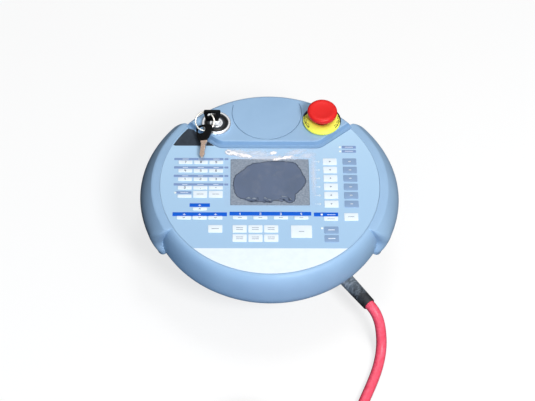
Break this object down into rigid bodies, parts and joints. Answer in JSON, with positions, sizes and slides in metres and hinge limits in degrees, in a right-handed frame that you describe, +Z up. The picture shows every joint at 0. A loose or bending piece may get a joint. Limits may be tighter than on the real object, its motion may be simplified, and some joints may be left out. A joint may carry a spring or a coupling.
{
  "type": "teach pendant",
  "caption": "Round handheld teach pendant with membrane keypad, display, emergency stop, key switch, side grips, rear ring handle with enabling rockers and a coiled cable.",
  "frame": {"origin": "centre of the footprint at the surface the handle's feet stand on", "axes": "+Z up out of the keypad, +Y from the operator towards the raised console, +X to the operator's right"},
  "size_m": [0.259, 0.4877, 0.1295],
  "materials": {
    "shell": "satin",
    "face_sheet": "satin",
    "black_plastic": "matte",
    "dark_plastic": "matte",
    "rubber": "matte",
    "red_plastic": "gloss",
    "yellow_plastic": "satin",
    "white_plastic": "satin",
    "board": "satin",
    "display": "gloss",
    "film": "gloss",
    "steel": "satin",
    "chrome": "polished",
    "brass": "satin",
    "aluminium": "satin",
    "cable": "satin"
  },
  "bodies": {
    "housing": {"front_housing": "shell", "rear_housing": "shell", "housing_seal": "rubber", "keypad_overlay": "face_sheet", "keypad_spacer": "white_plastic", "snap_domes": "steel", "keypad_board": "board", "status_leds": "white_plastic", "display_window": "display", "protective_film": "film", "display_module": "dark_plastic", "display_bracket": "steel", "main_board": "board", "board_standoffs": "brass", "ribbon_cable": "white_plastic", "estop_collar": "yellow_plastic", "estop_gasket": "rubber", "estop_body": "black_plastic", "estop_nut": "steel", "estop_spring": "steel", "estop_contact_block": "dark_plastic", "lock_bezel": "white_plastic", "lock_rosette": "black_plastic", "lock_body": "black_plastic", "lock_nut": "steel", "lock_contact_block": "dark_plastic", "handle_body": "shell", "handle_cover": "shell", "rocker_pins": "steel", "enabling_switch_right": "black_plastic", "enabling_switch_left": "black_plastic", "housing_screws": "steel", "handle_screws": "steel", "cover_screws": "steel", "handle_feet": "rubber", "cable_gland": "dark_plastic", "cable_boot": "rubber", "blank_plug": "dark_plastic", "cable_tube": "cable", "cable_coil": "cable", "cable_tail": "cable", "cable_tie": "black_plastic", "connector_body": "aluminium", "connector_insert": "black_plastic", "connector_clamp": "dark_plastic"},
    "estop_push_body": {"estop_plunger": "white_plastic"},
    "estop_head_body": {"estop_mushroom": "red_plastic"},
    "lock_rotor": {"lock_cylinder": "chrome", "key_blade": "brass", "key_head": "black_plastic"},
    "key_ring_body": {"key_ring": "steel"},
    "spare_key": {"spare_key_head": "black_plastic", "spare_key_blade": "brass"},
    "rocker_right": {"enabling_rocker_right": "dark_plastic"},
    "rocker_left": {"enabling_rocker_left": "dark_plastic"},
    "coupling": {"connector_ring": "aluminium"}
  },
  "joints": [
    {"name": "estop_push", "type": "slide", "parent": "housing", "child": "estop_push_body", "axis": [0, 0, 1], "range_m": [-0.004, 0], "stiffness_N_per_m": 900, "springref_m": 0.004, "deforming": ["estop_spring"]},
    {"name": "estop_twist", "type": "hinge", "parent": "estop_push_body", "child": "estop_head_body", "pos_m": [0.0535, 0.0755, 0.12], "axis": [0, 0, 1], "range_deg": [-30, 0], "stiffness_Nm_per_rad": 0.05},
    {"name": "lock_turn", "type": "hinge", "parent": "housing", "child": "lock_rotor", "pos_m": [-0.054, 0.072, 0.11], "axis": [0, 0, 1], "range_deg": [-90, 0]},
    {"name": "key_ring_swing", "type": "hinge", "parent": "lock_rotor", "child": "key_ring_body", "pos_m": [-0.0583, 0.072, 0.1226], "axis": [1, 0, 0], "range_deg": [-38, 0]},
    {"name": "spare_key_swing", "type": "hinge", "parent": "key_ring_body", "child": "spare_key", "pos_m": [-0.06866, 0.06012, 0.11332], "axis": [1, 0, 0], "range_deg": [-9, 0]},
    {"name": "enable_right", "type": "hinge", "parent": "housing", "child": "rocker_right", "pos_m": [0.07189, -0.01268, 0.015], "axis": [0, 0, 1], "range_deg": [0, 4], "stiffness_Nm_per_rad": 0.8, "springref_deg": -2.86},
    {"name": "enable_left", "type": "hinge", "parent": "housing", "child": "rocker_left", "pos_m": [-0.07189, -0.01268, 0.015], "axis": [0, 0, -1], "range_deg": [0, 4], "stiffness_Nm_per_rad": 0.8, "springref_deg": -2.86},
    {"name": "connector_coupling", "type": "hinge", "parent": "housing", "child": "coupling", "pos_m": [-0.0645, -0.267, 0.057], "axis": [0, 1, 0], "continuous": true}
  ]
}
